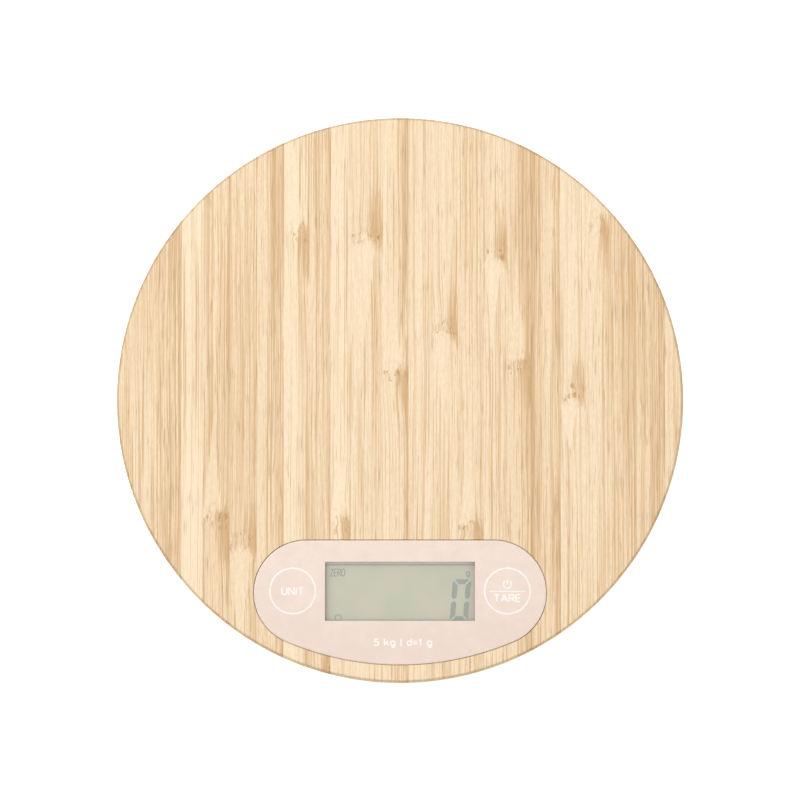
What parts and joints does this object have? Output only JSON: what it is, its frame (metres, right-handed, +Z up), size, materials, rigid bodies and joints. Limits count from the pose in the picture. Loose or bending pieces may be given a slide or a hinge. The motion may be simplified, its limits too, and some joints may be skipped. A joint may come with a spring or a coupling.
{
  "type": "kitchen scale",
  "caption": "Thin round bamboo kitchen scale with a flush pink display panel, LCD window, two ringed keys, load-cell feet and a quarter-turn battery door.",
  "frame": {"origin": "middle of the surface that the four feet stand on, on the axis of the round platform", "axes": "+Z up, +X to the right, the display panel at the front towards -Y"},
  "size_m": [0.2, 0.2, 0.0181],
  "materials": {
    "bamboo": "satin lacquer over vertically laminated strips",
    "panel_film": "fine matt printed film, pale pink with white legends",
    "display_frame": "moulded, fine matt",
    "clear_window": "clear polished acrylic",
    "lcd_glass": "polarised grey-green",
    "reflector": "satin foil",
    "silicone": "banded silicone strip",
    "circuit_board": "glass-fibre laminate with green solder mask",
    "epoxy": "poured black epoxy",
    "switch_plastic": "moulded black",
    "base_plastic": "fine spark-eroded texture",
    "foot_rubber": "soft matt",
    "cell_steel": "stamped and zinc plated",
    "zinc": "bright zinc plate",
    "nickel": "nickel plate, brushed",
    "gauge_film": "silicone coat over the gauge",
    "red_wire": "PVC sleeve",
    "black_wire": "PVC sleeve",
    "grey_wire": "PVC sleeve"
  },
  "bodies": {
    "scale_body": {"platform": "bamboo", "panel_film": "panel_film", "display_frame": "display_frame", "unit_switch_body": "switch_plastic", "tare_switch_body": "switch_plastic", "display_window": "clear_window", "lcd_front_glass": "lcd_glass", "lcd_rear_glass": "lcd_glass", "lcd_reflector": "reflector", "zebra_connector": "silicone", "main_board": "circuit_board", "chip_cover": "epoxy", "capacitor": "nickel", "board_screw_1": "zinc", "board_screw_2": "zinc", "board_screw_3": "zinc", "board_screw_4": "zinc", "base_housing": "base_plastic", "base_screw_1": "zinc", "base_screw_2": "zinc", "base_screw_3": "zinc", "base_screw_4": "zinc", "base_screw_5": "zinc", "base_screw_6": "zinc", "load_cell_front_left": "cell_steel", "strain_gauge_front_left": "gauge_film", "cell_bracket_front_left": "base_plastic", "load_cell_front_right": "cell_steel", "strain_gauge_front_right": "gauge_film", "cell_bracket_front_right": "base_plastic", "load_cell_back_left": "cell_steel", "strain_gauge_back_left": "gauge_film", "cell_bracket_back_left": "base_plastic", "load_cell_back_right": "cell_steel", "strain_gauge_back_right": "gauge_film", "cell_bracket_back_right": "base_plastic", "coin_cell": "nickel", "battery_contact_negative": "nickel", "battery_contact_positive": "nickel", "cell_lead_front_left": "grey_wire", "cell_lead_front_right": "grey_wire", "cell_lead_back_left": "grey_wire", "cell_lead_back_right": "grey_wire", "battery_lead_negative": "black_wire", "battery_lead_positive": "red_wire"},
    "unit_button": {"unit_key": "panel_film", "unit_switch_stem": "switch_plastic"},
    "tare_button": {"tare_key": "panel_film", "tare_switch_stem": "switch_plastic"},
    "door": {"battery_door": "base_plastic"},
    "foot_front_left": {"foot_cap_front_left": "base_plastic", "foot_pad_front_left": "foot_rubber"},
    "foot_front_right": {"foot_cap_front_right": "base_plastic", "foot_pad_front_right": "foot_rubber"},
    "foot_back_left": {"foot_cap_back_left": "base_plastic", "foot_pad_back_left": "foot_rubber"},
    "foot_back_right": {"foot_cap_back_right": "base_plastic", "foot_pad_back_right": "foot_rubber"}
  },
  "joints": [
    {"name": "unit_press", "type": "slide", "parent": "scale_body", "child": "unit_button", "axis": [0, 0, -1], "range_m": [0, 0.0003], "stiffness_N_per_m": 5000},
    {"name": "tare_press", "type": "slide", "parent": "scale_body", "child": "tare_button", "axis": [0, 0, -1], "range_m": [0, 0.0003], "stiffness_N_per_m": 5000},
    {"name": "foot_front_left_load", "type": "slide", "parent": "scale_body", "child": "foot_front_left", "axis": [0, 0, 1], "range_m": [0, 0.0004], "stiffness_N_per_m": 40000},
    {"name": "foot_front_right_load", "type": "slide", "parent": "scale_body", "child": "foot_front_right", "axis": [0, 0, 1], "range_m": [0, 0.0004], "stiffness_N_per_m": 40000},
    {"name": "foot_back_left_load", "type": "slide", "parent": "scale_body", "child": "foot_back_left", "axis": [0, 0, 1], "range_m": [0, 0.0004], "stiffness_N_per_m": 40000},
    {"name": "foot_back_right_load", "type": "slide", "parent": "scale_body", "child": "foot_back_right", "axis": [0, 0, 1], "range_m": [0, 0.0004], "stiffness_N_per_m": 40000},
    {"name": "battery_door_turn", "type": "hinge", "parent": "scale_body", "child": "door", "pos_m": [0, 0.022, 0.0032], "axis": [0, 0, -1], "range_deg": [0, 60]}
  ]
}
